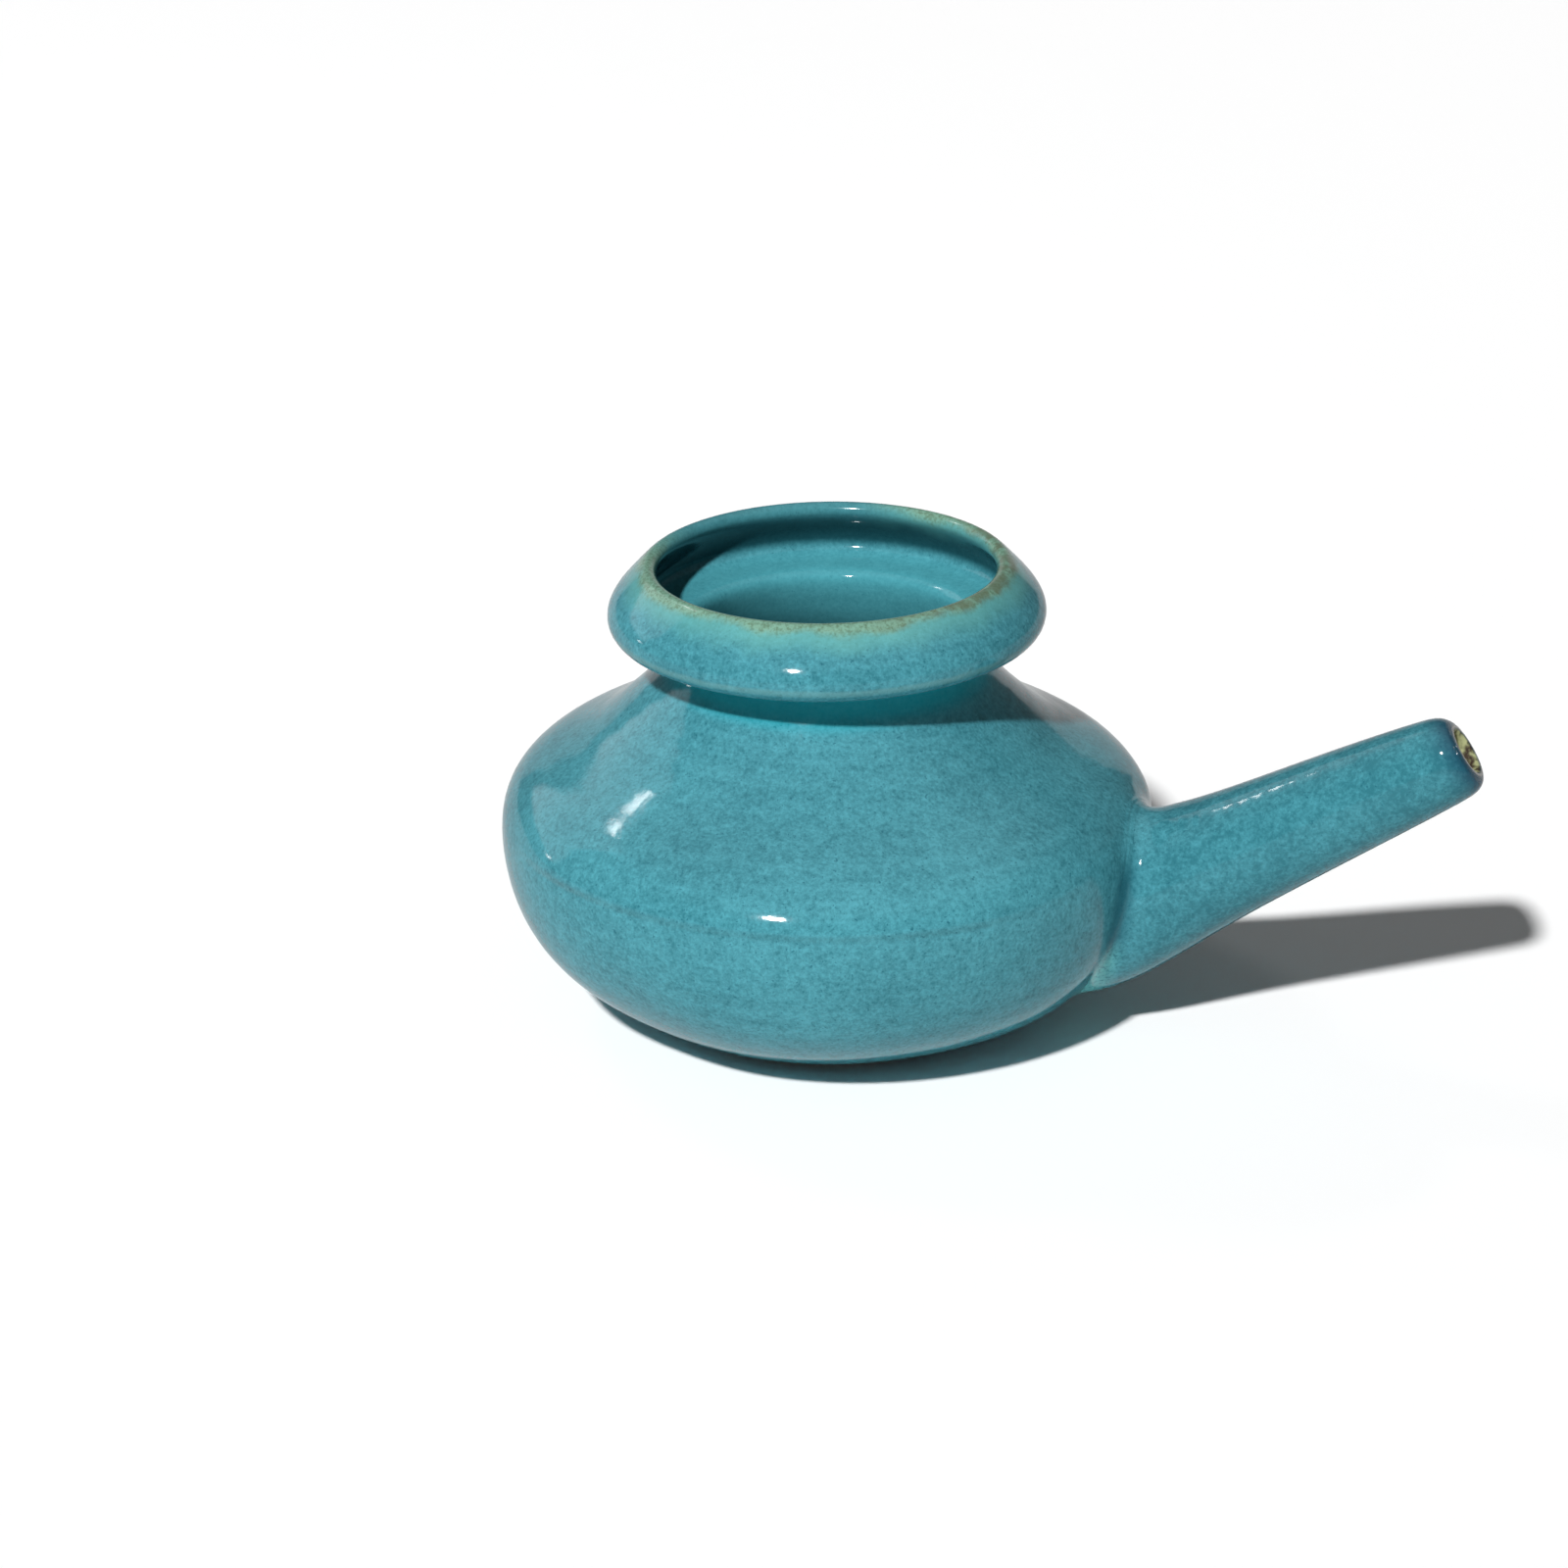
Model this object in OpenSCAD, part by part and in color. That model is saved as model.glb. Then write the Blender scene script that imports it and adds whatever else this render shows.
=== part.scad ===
// Hand-thrown stoneware neti pot: a squat round belly, a drawn-in neck under a rolled collar,
// and a tapered spout that rises from the belly's lower half. Fired as one piece.
// Millimetres. Origin at the centre of the foot, +Z up, the spout towards +X.

/* [Body] */
// Widest diameter of the belly
belly_d = 110; // [96:1:126]
// Height of the belly's widest line above the table
belly_z = 33.6; // [29:0.2:38]
// Height from the belly's widest line to the narrowest line of the neck
shoulder_h = 31.6; // [27:0.2:36]
// Diameter of the flat foot
foot_d = 54; // [44:1:62]
// Angle at which the wall leaves the foot, above the table
foot_angle = 23; // [18:1:28]
// Wall of the belly
wall = 3.6; // [2.8:0.1:4.6]
// Thickness of the floor
floor_t = 4.5; // [3:0.1:6]
// Diameter of the flat part of the floor inside
floor_d = 36; // [26:1:44]

/* [Neck and collar] */
// Diameter of the neck at its narrowest line
neck_d = 54.8; // [50:0.2:60]
// Wall of the neck and of the collar
neck_wall = 3.2; // [2.6:0.1:3.8]
// How far the collar stands out from the neck
collar_out = 9.1; // [7.5:0.1:10.5]
// Height of the collar's edge above the neck's narrowest line
collar_rise = 5; // [4.4:0.1:5.6]
// How far the lip leans in from the collar's edge
lip_in = 7.1; // [6:0.1:8]
// Height of the lip's centre above the collar's edge
lip_rise = 7.5; // [6:0.1:8]
// Thickness of the round lip
lip_t = 2.9; // [2.2:0.1:3.6]
// Direction in which the collar runs into the lip, from level and outwards
lip_angle = 126; // [118:1:134]

/* [Spout] */
// Rise of the spout's axis above level
spout_rise = 30.5; // [24:0.5:36]
// How far below the widest line the axis crosses the belly's radius
spout_drop = 7; // [5:0.2:10]
// Length of the spout from the belly's radius to its tip
spout_l = 59.5; // [48:0.5:70]
// Diameter of the spout at the belly's radius
spout_root_d = 24.2; // [21:0.2:27]
// Diameter of the spout at its tip, before the rounding
spout_tip_d = 13.8; // [12.6:0.2:16]
// Length of straight tube inside the belly's radius, down to the heel
heel_l = 19.5; // [17:0.5:21]
// Length over which the heel is rounded off
heel_round = 6; // [5:0.5:7]
// Wall of the spout
spout_wall = 3.6; // [2.8:0.1:4.2]
// Length of the rounded nose
nose_l = 3.6; // [2.4:0.1:4.6]

/* [Passage] */
// Diameter of the outlet at the tip
outlet_d = 7; // [6:0.1:8]
// Length of the straight outlet behind its rounded mouth
outlet_l = 8; // [5:0.5:12]
// Rounding of the outlet's mouth
mouth_round = 0.9; // [0.5:0.1:1.1]
// Diameter of the hole through the belly's wall
hole_d = 9.6; // [8:0.2:12]
// Depth of the hole inside the belly's radius, to where its pointed end starts
hole_l = 12; // [10:0.5:14]

/* [Hidden] */
$fn = 128;
belly_r = belly_d / 2;
neck_r = neck_d / 2;
neck_z = belly_z + shoulder_h;
collar_r = neck_r + collar_out;
collar_z = neck_z + collar_rise;
lip_c = [collar_r - lip_in, collar_z + lip_rise];
lip_r = lip_t / 2;
lip_run = [cos(lip_angle), sin(lip_angle)];
lip_side = [lip_run[1], -lip_run[0]];
lift = neck_wall / 2;
spout_z = belly_z - spout_drop;
root_r = spout_root_d / 2;
tip_r = spout_tip_d / 2;
taper = (root_r - tip_r) / spout_l;
outlet_r = outlet_d / 2;
hole_r = hole_d / 2;
mouth_r = outlet_r + mouth_round;
clear = 2;
steps = 14;

// The wall's outline as four curves end to end, each by two ends and two handles: up to the
// belly's widest line, over the shoulder to the neck, out under the collar, and in to the lip.
// The handles are shares of the height that each curve climbs. Inside, the neck's line lies half a
// wall higher and the collar's a quarter, so that the clay under the collar keeps its thickness.
OUTSIDE = [
    [foot_d / 2, 0],
    [foot_d / 2, 0] + 0.65 * belly_z * [cos(foot_angle), sin(foot_angle)],
    [belly_r, 0.475 * belly_z],
    [belly_r, belly_z],
    [belly_r, belly_z + 0.46 * shoulder_h],
    [neck_r, neck_z - 0.55 * shoulder_h],
    [neck_r, neck_z],
    [neck_r, neck_z + 0.84 * collar_rise],
    [collar_r, collar_z - 1.44 * collar_rise],
    [collar_r, collar_z],
    [collar_r, collar_z + 0.35 * lip_rise],
    lip_c + lip_r * lip_side - 0.26 * lip_rise * lip_run,
    lip_c + lip_r * lip_side,
];
INSIDE = [
    [floor_d / 2, floor_t],
    [floor_d / 2 + 0.6 * belly_z, floor_t],
    [belly_r - wall, 0.5 * belly_z],
    [belly_r - wall, belly_z],
    [belly_r - wall, belly_z + 0.37 * shoulder_h],
    [neck_r - neck_wall, neck_z + lift - 0.69 * shoulder_h],
    [neck_r - neck_wall, neck_z + lift],
    [neck_r - neck_wall, neck_z + lift + 0.9 * collar_rise],
    [collar_r - neck_wall, collar_z + lift / 2 - 0.65 * collar_rise],
    [collar_r - neck_wall, collar_z + lift / 2],
    [collar_r - neck_wall, collar_z + lift / 2 + 0.2 * lip_rise],
    lip_c - lip_r * lip_side - 0.4 * lip_rise * lip_run,
    lip_c - lip_r * lip_side,
];

function bezier(a, b, c, d) = [
    for (i = [0 : steps - 1]) let (t = i / steps, u = 1 - t)
        u * u * u * a + 3 * u * u * t * b + 3 * u * t * t * c + t * t * t * d
];

function wall_line(p) = concat(
    bezier(p[0], p[1], p[2], p[3]),
    bezier(p[3], p[4], p[5], p[6]),
    bezier(p[6], p[7], p[8], p[9]),
    bezier(p[9], p[10], p[11], p[12]),
    [p[12]]
);

function arc(centre, rx, ry, from, to) = [
    for (i = [0 : steps]) let (a = from + (to - from) * i / steps)
        centre + [rx * cos(a), ry * sin(a)]
];

function backwards(list) = [for (i = [len(list) - 1 : -1 : 0]) list[i]];

// Everything thrown on the wheel: one closed section, turned about the pot's axis
module thrown_body() {
    lip_top = arc(lip_c, lip_r, lip_r, lip_angle - 90, lip_angle + 90);
    rotate_extrude()
        polygon(concat(
            [[0, 0]],
            wall_line(OUTSIDE),
            lip_top,
            backwards(wall_line(INSIDE)),
            [[0, floor_t]]
        ));
}

// What lies inside the middle of the wall, which the spout's root is cut back to
module wall_core() {
    middle = (OUTSIDE + INSIDE) / 2;
    rotate_extrude()
        polygon(concat([[0, floor_t / 2]], wall_line(middle), [[0, middle[12][1]]]));
}

// Along the spout's axis: children drawn with +Z as the way out, zero at the belly's radius
module on_spout_axis() {
    translate([belly_r, 0, spout_z])
        rotate([0, 90 - spout_rise, 0])
            children();
}

function tube_r(s) = root_r - taper * s;

// The thrown tube with its heel and nose rounded, solid
module spout_tube() {
    heel = arc([0, -heel_l], tube_r(-heel_l), heel_round, -90, 0);
    nose = arc([mouth_r, spout_l - nose_l], tube_r(spout_l - nose_l) - mouth_r, nose_l, 0, 90);
    rotate_extrude()
        polygon(concat(heel, nose, [[0, spout_l]]));
}

// The water's way: hole through the wall, tapered tube, straight outlet, rounded mouth
module passage() {
    mouth = arc([mouth_r, spout_l - mouth_round], -mouth_round, mouth_round, 0, 90);
    outlet_z = spout_l - mouth_round - outlet_l;
    rotate_extrude()
        polygon(concat(
            [[0, -hole_l - hole_r], [hole_r, -hole_l], [tube_r(0) - spout_wall, 0]],
            [[outlet_r, outlet_z]],
            mouth,
            [[mouth_r, spout_l + clear], [0, spout_l + clear]]
        ));
}

module pot() {
    color([0.2, 0.5, 0.55])
        difference() {
            union() {
                thrown_body();
                difference() {
                    on_spout_axis() spout_tube();
                    wall_core();
                }
            }
            on_spout_axis() passage();
        }
}

pot();
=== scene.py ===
from math import atan2, cos, exp, hypot, pi, radians, sin, sqrt

import bmesh
import bpy
import numpy as np
from mathutils import Matrix, Vector


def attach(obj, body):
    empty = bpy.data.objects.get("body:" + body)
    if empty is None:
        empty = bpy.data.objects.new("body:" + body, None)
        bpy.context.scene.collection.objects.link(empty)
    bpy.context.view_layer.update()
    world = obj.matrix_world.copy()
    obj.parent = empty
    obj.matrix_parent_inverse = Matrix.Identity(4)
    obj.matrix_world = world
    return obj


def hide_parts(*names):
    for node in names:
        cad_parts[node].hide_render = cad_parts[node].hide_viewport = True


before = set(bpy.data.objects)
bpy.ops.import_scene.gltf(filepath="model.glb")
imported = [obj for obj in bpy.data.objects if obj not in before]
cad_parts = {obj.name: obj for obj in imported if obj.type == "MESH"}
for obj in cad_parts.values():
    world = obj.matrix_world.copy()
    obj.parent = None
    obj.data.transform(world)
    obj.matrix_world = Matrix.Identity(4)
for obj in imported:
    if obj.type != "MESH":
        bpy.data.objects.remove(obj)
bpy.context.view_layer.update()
scene = bpy.context.scene
scene.view_settings.view_transform = "Standard"

# The camera. It stands 0.7 m away, a little above the pot and turned 16 degrees towards its
# spout, with a long lens, as the lines of the mouth, the foot and the spout show.
view_az = radians(16)
view_el = radians(22.87)
view_distance = 0.7
aim_right = -0.0074
aim_height = 0.0387
focal_length = 95.86


def way_to(az, el):
    """The direction from the pot to a turn from its front and a height, both angles."""
    return Vector((sin(az) * cos(el), -cos(az) * cos(el), sin(el)))


right = Vector((cos(view_az), sin(view_az), 0))
back = way_to(view_az, view_el)
up = back.cross(right)
aim = right * aim_right + Vector((0, 0, aim_height))
camera = bpy.data.objects.new("camera", bpy.data.cameras.new("camera"))
camera.data.lens = focal_length
camera.data.sensor_width = 36
camera.matrix_world = (
    Matrix.Translation(aim + back * view_distance)
    @ Matrix((right, up, back)).transposed().to_4x4()
)
scene.collection.objects.link(camera)
scene.camera = camera

# The thrown body. Stoneware pulled up on the wheel: a round belly, a shoulder drawn in to the
# neck, and the wall folded out and back to a collar with a round lip. One closed section, from
# the foot over the lip to the floor, is turned about the pot's axis. Millimetres to begin with.
belly_r = 54.97
inner_belly_r = 51.4
foot_r = 27
foot_hollow = 0.5
floor_z = 4.5
lip_centre = (29.4, 77.1)
lip_r = 1.55
columns = 64

# Each wall line is five curves end to end, by their ends and handles as radius and height, with
# the number of rows of faces on each: up the belly, over the shoulder, in to the neck, out under
# the collar, and in to the lip.
OUTER_WALL = [
    ([(foot_r, 0), (47.3, 8.6), (belly_r, 16.7), (belly_r, 33.6)], 9),
    ([(belly_r, 33.6), (belly_r, 44), (42.4, 45.4), (38.4, 49.3)], 5),
    ([(38.4, 49.3), (36, 51.6), (25.2, 60.2), (25.2, 65)], 4),
    ([(25.2, 65), (25.2, 69.8), (36.45, 63), (36.45, 70.2)], 6),
    ([(36.45, 70.2), (36.45, 72.6), (31.7, 76.6), (30.6, 78)], 4),
]
INNER_WALL = [
    ([(18, floor_z), (38.4, floor_z), (inner_belly_r, 17), (inner_belly_r, 33.6)], 8),
    ([(inner_belly_r, 33.6), (inner_belly_r, 43), (39.3, 43.7), (36, 46.9)], 5),
    ([(36, 46.9), (33.4, 49.5), (23.6, 57.5), (23.6, 66.2)], 4),
    ([(23.6, 66.2), (23.6, 69.4), (31.4, 67), (31.6, 70.8)], 5),
    ([(31.6, 70.8), (31.7, 72.6), (29.6, 74.2), (28.2, 76.2)], 3),
]


def way_along(line):
    """The distance from a line's first point to each of its points."""
    return np.concatenate([[0], np.cumsum(np.hypot(*np.diff(line, axis=0).T))])


def trace(curve, rows):
    """Points at even distances along one curve, both ends included."""
    t = np.linspace(0, 1, 200)[:, None]
    a, b, c, d = np.array(curve, float)
    line = (1 - t) ** 3 * a + 3 * (1 - t) ** 2 * t * b + 3 * (1 - t) * t * t * c + t**3 * d
    way = way_along(line)
    at = np.linspace(0, way[-1], rows + 1)
    return np.column_stack([np.interp(at, way, line[:, 0]), np.interp(at, way, line[:, 1])])


def wall_line(curves):
    return np.vstack([curves[0][0][0]] + [trace(curve, rows)[1:] for curve, rows in curves])


outer_line = wall_line(OUTER_WALL)
inner_line = wall_line(INNER_WALL)
foot = [(0, foot_hollow), (10, foot_hollow), (20, foot_hollow), (21.5, 0), (26, 0)]
lip = [
    (lip_centre[0] + lip_r * cos(a), lip_centre[1] + lip_r * sin(a))
    for a in (radians(76), radians(126), radians(176))
]
floor = [(10, floor_z), (0, floor_z)]
section = np.vstack([foot, outer_line, lip, inner_line[::-1], floor])
foot_row = len(foot)
lip_row = foot_row + len(outer_line) + 1
floor_row = len(section) - len(floor) - 1
section_way = way_along(section) - way_along(section)[foot_row]
neck_row = foot_row + sum(rows for curve, rows in OUTER_WALL[:3])
collar_row = foot_row + sum(rows for curve, rows in OUTER_WALL[:4])
lip_way, neck_way, collar_way = section_way[[lip_row, neck_row, collar_row]]

shell = bmesh.new()
row_of = shell.verts.layers.int.new("row")
wall_way = shell.verts.layers.float.new("wall_way")
tip_way = shell.verts.layers.float.new("tip_way")
on_spout = shell.verts.layers.float.new("on_spout")
joint_way = shell.verts.layers.float.new("joint_way")
profile = []
for row, (r, z) in enumerate(section):
    v = shell.verts.new((r, 0, z))
    v[row_of] = row
    v[wall_way] = section_way[row]
    profile.append(v)
profile += [shell.edges.new(pair) for pair in zip(profile, profile[1:])]
bmesh.ops.spin(
    shell,
    geom=profile,
    axis=(0, 0, 1),
    cent=(0, 0, 0),
    angle=2 * pi,
    steps=columns,
    use_merge=True,
)
bmesh.ops.remove_doubles(shell, verts=shell.verts[:], dist=1e-4)

# The holes for the spout. The potter cuts the wall where the spout goes on. A square of six by
# six faces comes out of each skin, and the grid round it is drawn into an oval on the wall, so
# that the faces run round the joint.
outer_hole_way = 36
inner_hole_way = 40.5
ring_gap = 4.5

# Counted in faces: from the foot up to the hole's middle, from there to its edge, and from there to
# where the grid is calm again
hole_rows = 7
hole_half = 3
calm = 7


def open_wall(curves, radius, first_row, direction, centre_way, half_w, half_h):
    """Cuts one skin's hole and returns its edge. The oval lies at centre_way along the wall."""
    line = np.vstack([trace(curve, 400) for curve, rows in curves[:3]])
    way = way_along(line)
    grid = {}
    for v in shell.verts:
        rows_up = (v[row_of] - first_row) * direction - hole_rows
        turn = atan2(v.co.y, v.co.x) * columns / (2 * pi)
        if max(abs(rows_up), abs(turn)) < calm - 0.5 and hypot(v.co.x, v.co.y) > foot_r / 2:
            grid[v] = (round(turn), rows_up)
    for v, (across, rows_up) in grid.items():
        ring = max(abs(across), abs(rows_up))
        if ring < hole_half:
            continue
        if abs(across) >= abs(rows_up):
            round_it = pi / 4 * rows_up / ring if across > 0 else pi - pi / 4 * rows_up / ring
        else:
            round_it = (pi / 2 - pi / 4 * across / ring) * (1 if rows_up > 0 else -1)
        share = (ring - hole_half) / (calm - hole_half)
        keep = share * share * (3 - 2 * share)
        spread = (ring - hole_half) * ring_gap
        angle = atan2(v.co.y, v.co.x)
        here = way[np.argmin(np.hypot(line[:, 0] - hypot(v.co.x, v.co.y), line[:, 1] - v.co.z))]
        angle = keep * angle + (1 - keep) * (half_w + spread) * cos(round_it) / radius
        here = keep * here + (1 - keep) * (centre_way + (half_h + spread) * sin(round_it))
        r = np.interp(here, way, line[:, 0])
        v.co = (r * cos(angle), r * sin(angle), np.interp(here, way, line[:, 1]))
    cut = {v for v, place in grid.items() if max(abs(place[0]), abs(place[1])) <= hole_half}
    faces = [f for f in shell.faces if cut.issuperset(f.verts)]
    rim = [e for e in shell.edges if sum(f in faces for f in e.link_faces) == 1]
    bmesh.ops.delete(shell, geom=faces, context="FACES")
    return rim


outer_rim = open_wall(
    OUTER_WALL, belly_r, foot_row, 1, centre_way=outer_hole_way, half_w=14.6, half_h=20
)
inner_rim = open_wall(
    INNER_WALL, inner_belly_r, floor_row, -1, centre_way=inner_hole_way, half_w=8.8, half_h=11.4
)

# The spout. A tapered tube thrown by itself, cut to the belly's curve, set on with slip and
# smoothed down, with a round nose and a narrow outlet. Its section is turned about its own axis,
# its root sheared to the belly, and both its skins are bridged to the wall's.
spout_start = Vector((55, 0, 26.6))
spout_rise = radians(30.5)
spout_columns = 24
spout_axis = Vector((cos(spout_rise), 0, sin(spout_rise)))
spout_up = Vector((-sin(spout_rise), 0, cos(spout_rise)))
root_r = 12.25
heel_l = 11
heel_round = 13
heel_taper = 0.08
spout_wall_way = outer_hole_way
passage_wall_way = section_way[floor_row] - 40

# The saddle of clay over the root, and the mouth cut slightly askew: how high or how steep, where
# along the spout, and over what length
saddle_rise, saddle_s, saddle_l = 1.6, 5, 8
slant, slant_s, slant_l = 0.08, 50, 8

# How far along the spout the shear of its root and its throat fades out, how far from the joint the
# clay is smoothed and the glaze changes, and the way from the joint that the inside is given
root_fade, throat_fade = 32, 16
soft_reach = 6
glaze_change = 8
inside_way = 60

tube_line = trace([(0, root_r), (18, 9.4), (36, 9.3), (55.4, 7.2)], 200)


def tube_r(s):
    """The spout's outer radius, with its heel rounded off inside the belly's radius."""
    r = np.interp(s, tube_line[:, 0], tube_line[:, 1]) if s > 0 else root_r - heel_taper * s
    return r * sqrt(max(0, 1 - (min(0, s + heel_l) / heel_round) ** 2))


def passage_r(s):
    """The water's way: narrow through the wall, wide at the root, narrow at the outlet."""
    return np.interp(s, [-14, 0, 50, 59], [4.2, 8.5, 3.5, 3.5])


def bow(s):
    """How far the axis is bent up, as the spout isn't quite straight."""
    return np.interp(s, [-20, 0, 12, 22, 35, 59], [-0.25, -0.2, 0, 0, 0.2, 0.25])


def outer_root(turn):
    """How far the belly's curve moves the root's edge along the spout, by the turn from its top."""
    return -4.88 + 12.6 * cos(turn) - 2.32 * cos(2 * turn)


def inner_root(turn):
    """The same for the edge of the passage."""
    return -6.75 + 7.3 * cos(turn) + 0.25 * cos(2 * turn)


nose = [(6.83, 57.3), (5.8, 58.67), (4.4, 59.17), (3.7, 58.87), (3.5, 58.1)]
outer_stations = [0, 1.3, 3.2, 6.5, 12, 18, 25, 32, 39, 46, 51.5, 55.2]
inner_stations = [54.5, 50, 42, 34, 26, 18, 10, 4, 0]
tube = [(tube_r(s), s) for s in outer_stations] + nose + [(passage_r(s), s) for s in inner_stations]
tube_way = way_along(np.array(tube))
nose_way = tube_way[len(outer_stations) + 2]

body_verts = set(shell.verts)
profile = []
for (r, s), way in zip(tube, tube_way):
    v = shell.verts.new(spout_start + spout_axis * s + spout_up * r)
    v[tip_way] = way - nose_way
    v[wall_way] = spout_wall_way if way < nose_way else passage_wall_way
    v[on_spout] = 1
    profile.append(v)
profile += [shell.edges.new(pair) for pair in zip(profile, profile[1:])]
bmesh.ops.spin(
    shell,
    geom=profile,
    axis=spout_axis,
    cent=spout_start,
    angle=2 * pi,
    steps=spout_columns,
    use_merge=True,
)
for v in shell.verts:
    if v in body_verts:
        continue
    s = (v.co - spout_start).dot(spout_axis)
    arm = v.co - spout_start - spout_axis * s
    turn = arm.angle(spout_up)
    outside = v[tip_way] < 0
    fade = max(0, 1 - s / (root_fade if outside else throat_fade)) ** 2
    s += (outer_root(turn) if outside else inner_root(turn)) * fade
    if fade:
        arm = arm.normalized() * (tube_r(s) if outside else passage_r(s))
    if outside:
        saddle_share = max(0, 1 - (s - saddle_s) / saddle_l) ** 2
        arm += spout_up * (saddle_rise * saddle_share * max(0, cos(turn)) ** 2)
    tip_share = min(1, max(0, (s - slant_s) / slant_l))
    s -= slant * (arm.dot(spout_up) + arm.y) * tip_share
    arm += spout_up * bow(s)
    v.co = spout_start + spout_axis * s + arm

tube_ends = [e for e in shell.edges if e.is_boundary and e not in outer_rim and e not in inner_rim]
root_rim = [e for e in tube_ends if e.verts[0][tip_way] < 0]
throat_rim = [e for e in tube_ends if e.verts[0][tip_way] > 0]
root_verts = {v for e in root_rim for v in e.verts}
for v in shell.verts:
    if v in body_verts:
        outside = v[wall_way] < lip_way
        v[tip_way] = -nose_way if outside else tube_way[-1] - nose_way
        gap = min((v.co - root.co).length for root in root_verts) if outside else inside_way
        v[joint_way] = -min(inside_way, gap)
    else:
        v[joint_way] = v[tip_way] + nose_way
        v[on_spout] = min(1, v[joint_way] / glaze_change)
bmesh.ops.bridge_loops(shell, edges=outer_rim + root_rim)
bmesh.ops.bridge_loops(shell, edges=inner_rim + throat_rim)
near_joint = [v for v in shell.verts if abs(v[joint_way]) < soft_reach and v[tip_way] < 0]
soft = [v for v in near_joint if v.co.z > 3]
for turn in range(3):
    bmesh.ops.smooth_vert(
        shell, verts=soft, factor=0.5, use_axis_x=True, use_axis_y=True, use_axis_z=True
    )
bmesh.ops.recalc_face_normals(shell, faces=shell.faces[:])

# Thrown by hand, the pot is slightly out of true. Its neck leans away from the spout, its collar
# rises to the right, the belly has a finger's dent low on the left and swells under the spout.
lean, lean_z = 0.0122, 40
collar_tilt, collar_z, collar_h = 0.018, 58, 10
mm = 0.001

# By centre, way inwards, depth and width
dent = (Vector((-20, -47, 16.5)), Vector((0.33, 0.78, 0.53)), 0.9, 8)
swelling = (Vector((40, -13, 9)), Vector((-0.55, 0.2, 0.8)), -1.1, 12)
for v in shell.verts:
    z = v.co.z
    if v in body_verts:
        to_right = v.co.dot(right)
        collar_share = min(1, max(0, (z - collar_z) / collar_h))
        v.co.z += collar_tilt * to_right * collar_share**2 * (3 - 2 * collar_share)
        v.co -= right * lean * max(0, z - lean_z)
    for centre, inward, depth, width in (dent, swelling):
        near = depth * exp(-((v.co - centre).length / width) ** 2 / 2) * min(1, z / 5)
        v.co += inward * near
bmesh.ops.scale(shell, vec=(mm, mm, mm), verts=shell.verts[:])

mesh = bpy.data.meshes.new("neti_pot")
shell.to_mesh(mesh)
shell.free()
mesh.shade_smooth()
pot = bpy.data.objects.new("neti_pot", mesh)
scene.collection.objects.link(pot)
smooth = pot.modifiers.new("smooth", "SUBSURF")
smooth.levels = smooth.render_levels = 2
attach(pot, "root")
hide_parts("pot")

# The glaze. A glossy turquoise coat that the pot was dipped in: finely mottled where it is thick,
# olive where it thins over the lip, and worn to the clay inside the outlet. Light and shade are
# painted on too: lighter in the neck and inside, darker under the lip and in the spout's joint, and
# a painted reflection under the joint. The foot is wiped bare. Distances are in millimetres.
thick_glaze = (0.023, 0.132, 0.164, 1)
thin_glaze = (0.067, 0.277, 0.328, 1)
dark_speck = (0.008, 0.075, 0.11, 1)
neck_painted_light = (0.002, 0.31, 0.375, 1)
under_lip_shade = (0.003, 0.035, 0.045, 1)
inside_painted_light = (0.06, 0.31, 0.36, 1)
collar_edge = (0.13, 0.3, 0.3, 1)
lip_halo = (0.11, 0.34, 0.31, 1)
back_left_halo = (0.035, 0.17, 0.2, 1)
dark_olive = (0.1, 0.165, 0.095, 1)
pale_olive = (0.17, 0.31, 0.22, 1)
brown_olive = (0.1, 0.1, 0.045, 1)
joint_painted_shade = (0.006, 0.07, 0.1, 1)
painted_floor_sheen = (0.11, 0.4, 0.41, 1)
outlet_glaze = (0.008, 0.04, 0.075, 1)
outlet_rust = (0.03, 0.018, 0.01, 1)
outlet_clay = (0.34, 0.36, 0.18, 1)
worn_ring = (0.3, 0.29, 0.26, 1)
foot_clay = (0.28, 0.2, 0.13, 1)
turned_clay = (0.46, 0.36, 0.25, 1)

glaze = bpy.data.materials.new("turquoise_glaze")
glaze.use_nodes = True
tree = glaze.node_tree
coat = tree.nodes["Principled BSDF"]


def add(kind, sockets, **settings):
    """One node, its settings, and its sockets by name or number: a value, or a socket to link."""
    made = tree.nodes.new("ShaderNode" + kind)
    for name, value in settings.items():
        setattr(made, name, value)
    for name, value in sockets.items():
        if isinstance(value, bpy.types.NodeSocket):
            tree.links.new(value, made.inputs[name])
        else:
            made.inputs[name].default_value = value
    return made.outputs


def reckon(operation, *values):
    return add("Math", dict(enumerate(values)), operation=operation)[0]


def ease(value, start, end, low=0, high=1):
    """A smooth step from low at start to high at end."""
    limits = {"Value": value, "From Min": start, "From Max": end, "To Min": low, "To Max": high}
    return add("MapRange", limits, interpolation_type="SMOOTHSTEP")[0]


def off(value, centre):
    """How far a distance is from its centre."""
    return reckon("ABSOLUTE", reckon("SUBTRACT", value, centre))


def mingle(share, first, second):
    return add("Mix", {0: share, 6: first, 7: second}, data_type="RGBA")[2]


def grain(scale, detail=2, roughness=0.5):
    sockets = {"Vector": spot, "Scale": scale, "Detail": detail, "Roughness": roughness}
    return add("TexNoise", sockets)["Fac"]


def rings(way, scale, detail=1):
    sockets = {"W": way, "Scale": scale, "Detail": detail}
    return add("TexNoise", sockets, noise_dimensions="1D")["Fac"]


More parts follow.
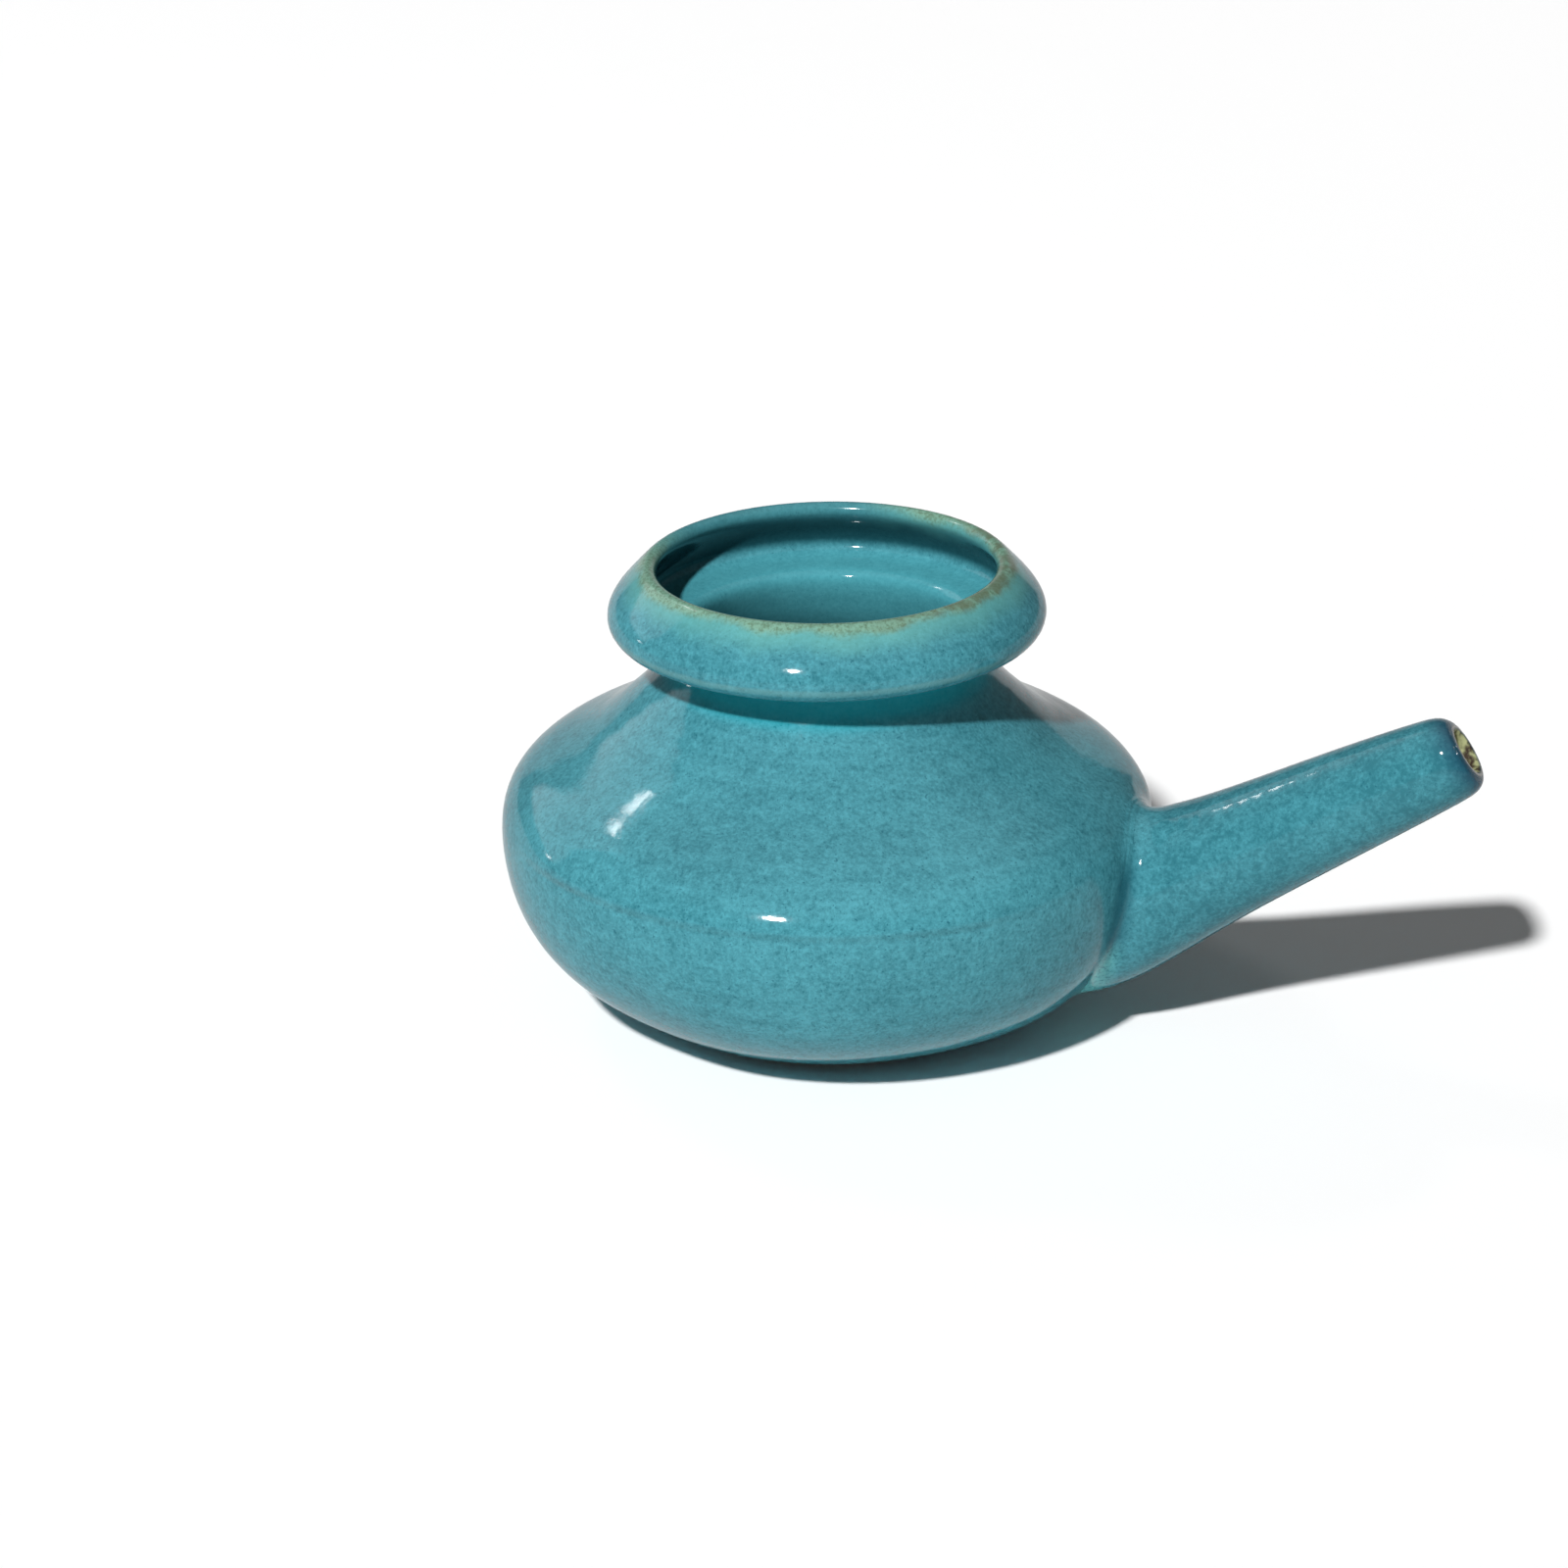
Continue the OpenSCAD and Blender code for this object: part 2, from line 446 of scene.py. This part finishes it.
spot = add("Mapping", {"Vector": add("TexCoord", {})["Object"], "Scale": (1 / mm,) * 3})[0]
spot_x, spot_y, spot_z = add("SeparateXYZ", {0: spot})[:3]
wall = add("Attribute", {}, attribute_name="wall_way")["Fac"]
tip = add("Attribute", {}, attribute_name="tip_way")["Fac"]
spout = add("Attribute", {}, attribute_name="on_spout")["Fac"]
joint = add("Attribute", {}, attribute_name="joint_way")["Fac"]

fine, medium, broad = grain(1.5, 3, 0.7), grain(0.5, 3), grain(0.05, 3)
banded = rings(wall, 0.45, 2)
tone = reckon("MULTIPLY_ADD", fine, 1.9, reckon("MULTIPLY_ADD", medium, 0.9, -1))
tone = reckon("MULTIPLY_ADD", banded, 0.3, tone)
tone = reckon("MULTIPLY_ADD", broad, 0.8, reckon("SUBTRACT", tone, 0.4))
tone = reckon("MULTIPLY_ADD", spout, -0.3, tone)
colour = mingle(tone, thick_glaze, thin_glaze)
colour = mingle(ease(grain(1.9, 1), 0.66, 0.76, 0, 0.6), colour, dark_speck)

# Painted light and shade: lighter in the neck, darker under the lip, lighter inside; then where the
# glaze thins over an edge
# Painted light: a lighter, more saturated teal round the neck, where the collar's shadow falls
painted_band = ease(off(wall, neck_way), 7.5, 3, 0, 0.75)
colour = mingle(painted_band, colour, neck_painted_light)
# Painted shade: a dark ring on the inner wall just under the lip, where the undercut faces down
painted_band = ease(off(wall, lip_way + 6), 4.6, 2, 0, 0.88)
colour = mingle(painted_band, colour, under_lip_shade)
# Painted light: the inner wall below the lip made lighter
deep_inside = ease(wall, lip_way + 8, lip_way + 13, 0, 0.5)
colour = mingle(deep_inside, colour, inside_painted_light)
edge = off(reckon("MULTIPLY_ADD", grain(0.12), 1.2, wall), collar_way - 0.7)
colour = mingle(ease(edge, 1, 0.3, 0, 0.4), colour, collar_edge)
lip_off = off(reckon("MULTIPLY_ADD", grain(0.12), 4, wall), lip_way + 0.9)
# Darker halo and no olive on the back-left of the lip
back_left_lip = reckon("MULTIPLY", ease(spot_y, -8, 12), ease(spot_x, 10, -4, 0, 0.95))
halo = mingle(back_left_lip, lip_halo, back_left_halo)
colour = mingle(ease(lip_off, 7, 2.5, 0, 0.6), colour, halo)
olive = mingle(ease(fine, 0.35, 0.6), dark_olive, pale_olive)
browned = reckon("MULTIPLY", ease(spot_x, 12, 24), ease(grain(0.3), 0.35, 0.55))
olive = mingle(reckon("MULTIPLY", browned, 0.7), olive, brown_olive)
thinned = ease(reckon("MULTIPLY_ADD", fine, 1.2, lip_off), 3.6, 1.4, 0, 0.85)
thinned = reckon("MULTIPLY", thinned, reckon("SUBTRACT", 1, back_left_lip))
colour = mingle(thinned, colour, olive)

# The spout's joint: painted shade in the crease at its sides, and a painted reflection in pale
# patches under it
# Painted shade: dark teal along both sides of the joint
crease = reckon("MULTIPLY", ease(off(joint, -1.5), 4.5, 0.5), ease(off(spot_z, 27), 11, 5))
colour = mingle(reckon("MULTIPLY", crease, 0.75), colour, joint_painted_shade)
# Painted reflection: pale patches low along the joint, where the belly faces the floor
joint_sheen = reckon("MULTIPLY", ease(off(joint, -1), 3.5, 0.5), ease(spot_z, 23, 16))
colour = mingle(reckon("MULTIPLY", joint_sheen, ease(fine, 0.3, 0.55)), colour, painted_floor_sheen)

# The outlet: blue-black glaze round it, a pale worn ring, and clay inside
outlet = reckon("MULTIPLY", ease(tip, 18, 10), spout)
darkened = reckon("MULTIPLY", ease(tip, -6.5, -0.3, 0, 0.88), outlet)
colour = mingle(darkened, colour, outlet_glaze)
rust = mingle(ease(grain(0.45, 3), 0.36, 0.56), outlet_rust, outlet_clay)
worn = reckon("MULTIPLY", ease(tip, 0.1, 0.7), outlet)
colour = mingle(worn, colour, rust)
ring = reckon("MULTIPLY", ease(off(tip, 0), 0.4, 0.15, 0, 0.8), outlet)
colour = mingle(ring, colour, worn_ring)

# The foot: bare stoneware with the turning tool's rings
bare = ease(reckon("MULTIPLY_ADD", grain(0.3, 2), 1.5, wall), 2.1, 1.5)
turned = rings(wall, 1.3, 3)
ringed = ease(reckon("ADD", turned, fine), 0.8, 1.2)
clay = mingle(ringed, foot_clay, turned_clay)
colour = mingle(bare, colour, clay)
tree.links.new(colour, coat.inputs["Base Color"])

# The gloss: fired glass, a little duller on the thin lip, dull on the clay
coat.inputs["Specular IOR Level"].default_value = 0.22
rough = reckon("MULTIPLY_ADD", medium, 0.04, 0.05)
rough = reckon("MULTIPLY_ADD", ease(lip_off, 2.6, 1), 0.08, rough)
dull = reckon("MAXIMUM", bare, worn)
tree.links.new(reckon("MULTIPLY_ADD", dull, 0.6, rough), coat.inputs["Roughness"])

# What fingers and tools left: the rings of throwing, one ridge at the front, and the glaze's grain
ridge_z = 36
thrown = reckon("MULTIPLY", rings(wall, 0.16), 0.12)
to_neck = slice(foot_row, neck_row + 1)
ridge_way = np.interp(ridge_z, section[to_neck, 1], section_way[to_neck])
above_ridge = reckon("SUBTRACT", wall, ridge_way)
ridge = reckon("MULTIPLY", ease(above_ridge, 5, 0), ease(above_ridge, -1.6, 0))
ridge = reckon("MULTIPLY", ridge, ease(spot_y, -30, -44, 0, 0.5))
height = reckon("ADD", thrown, ridge)
height = reckon("MULTIPLY_ADD", reckon("MULTIPLY", rings(tip, 0.2), spout), 0.12, height)
height = reckon("MULTIPLY_ADD", grain(0.2, 2), 0.05, height)
height = reckon("MULTIPLY_ADD", fine, 0.008, height)
height = reckon("MULTIPLY_ADD", reckon("MULTIPLY", turned, bare), 0.15, height)
relief = add("Bump", {"Height": height, "Distance": mm, "Strength": 1})[0]
tree.links.new(relief, coat.inputs["Normal"])
mesh.materials.append(glaze)

# The studio floor. A wide sheet of plain white paper that the pot stands on, flat and unrolled well
# past the view. The glaze mirrors it a little darker than the camera sees it.
floor_half = 4
paper_white = 0.95
paper_mirrored = 0.55

floor_bm = bmesh.new()
bmesh.ops.create_grid(floor_bm, x_segments=1, y_segments=1, size=floor_half)
floor_mesh = bpy.data.meshes.new("paper_floor")
floor_bm.to_mesh(floor_mesh)
floor_bm.free()
paper_floor = bpy.data.objects.new("paper_floor", floor_mesh)
scene.collection.objects.link(paper_floor)
paper = bpy.data.materials.new("white_paper")
paper.use_nodes = True
tree = paper.node_tree
sheet = tree.nodes["Principled BSDF"]
sheet.inputs["Roughness"].default_value = 0.9
dimmed = ease(add("LightPath", {})["Is Glossy Ray"], 0, 1, paper_white, paper_mirrored)
tree.links.new(add("CombineXYZ", {0: dimmed, 1: dimmed, 2: dimmed})[0], sheet.inputs["Base Color"])
floor_mesh.materials.append(paper)

# The light. A hard key high on the left of the camera, two small lamps far left for the glints on
# the shoulder, and a room that is white to the camera and has cards for the glaze to mirror.
lamp_distance = 0.9
fill = 0.1
left_card_light = 1.45


def hang(name, kind, az, el):
    """A lamp that points at the pot from a turn and a height in degrees."""
    lamp = bpy.data.objects.new(name, bpy.data.lights.new(name, kind))
    towards = way_to(radians(az), radians(el))
    facing = towards.to_track_quat("Z", "Y").to_matrix().to_4x4()
    lamp.matrix_world = Matrix.Translation(towards * lamp_distance) @ facing
    scene.collection.objects.link(lamp)
    return lamp.data


key = hang("key", "SUN", -6, 42)
key.energy = 4.42
key.angle = radians(3.2)
for name, az, el, energy, wide, high in (
    ("side", -111.5, 47, 0.3, 0.13, 0.03),
    ("side_low", -96, 13.2, 0.07, 0.04, 0.03),
):
    lamp = hang(name, "AREA", az, el)
    lamp.energy = energy
    lamp.shape = "RECTANGLE"
    lamp.size, lamp.size_y = wide, high

# The room, by the direction from the pot: white behind everything that the camera sees, dim where
# the glaze mirrors it, but for a low card behind the pot, one on its left and a pale ceiling
world = bpy.data.worlds.new("studio")
scene.world = world
world.use_nodes = True
tree = world.node_tree
direction = add("TexCoord", {})["Generated"]
behind = (-sin(view_az), cos(view_az), 0)
ahead = add("VectorMath", {0: direction, 1: behind}, operation="DOT_PRODUCT")["Value"]
level = add("VectorMath", {0: direction, 1: (1, 1, 0)}, operation="MULTIPLY")[0]
level = add("VectorMath", {0: level}, operation="LENGTH")["Value"]
height = add("SeparateXYZ", {0: direction})["Z"]
straight = reckon("DIVIDE", ahead, level)
back_card = reckon("MULTIPLY", ease(straight, 0.888, 0.896), ease(height, 0.29, 0.27))
to_right = add("VectorMath", {0: direction, 1: tuple(right)}, operation="DOT_PRODUCT")["Value"]
left_card = reckon("MULTIPLY", ease(straight, 0.33, 0.36), ease(straight, 0.86, 0.82))
left_card = reckon("MULTIPLY", left_card, ease(to_right, 0, -0.1))
left_card = reckon("MULTIPLY", left_card, ease(height, 0.2, 0.25))
left_card = reckon("MULTIPLY", left_card, ease(height, 0.8, 0.7))
ceiling = ease(height, 0.5, 0.9, 0, 0.7)
mirrored = reckon("MAXIMUM", ease(back_card, 0, 1, 0.12, 0.5), ceiling)
mirrored = reckon("MAXIMUM", mirrored, reckon("MULTIPLY", left_card, left_card_light))
light_path = add("LightPath", {})
seen = reckon("MAXIMUM", light_path["Is Camera Ray"], light_path["Is Transmission Ray"])
strength = reckon("MULTIPLY_ADD", seen, 1 - fill, fill)
extra = reckon("MULTIPLY", light_path["Is Glossy Ray"], reckon("SUBTRACT", mirrored, fill))
room = world.node_tree.nodes["Background"]
room.inputs["Color"].default_value = (1, 1, 1, 1)
tree.links.new(reckon("ADD", strength, extra), room.inputs["Strength"])
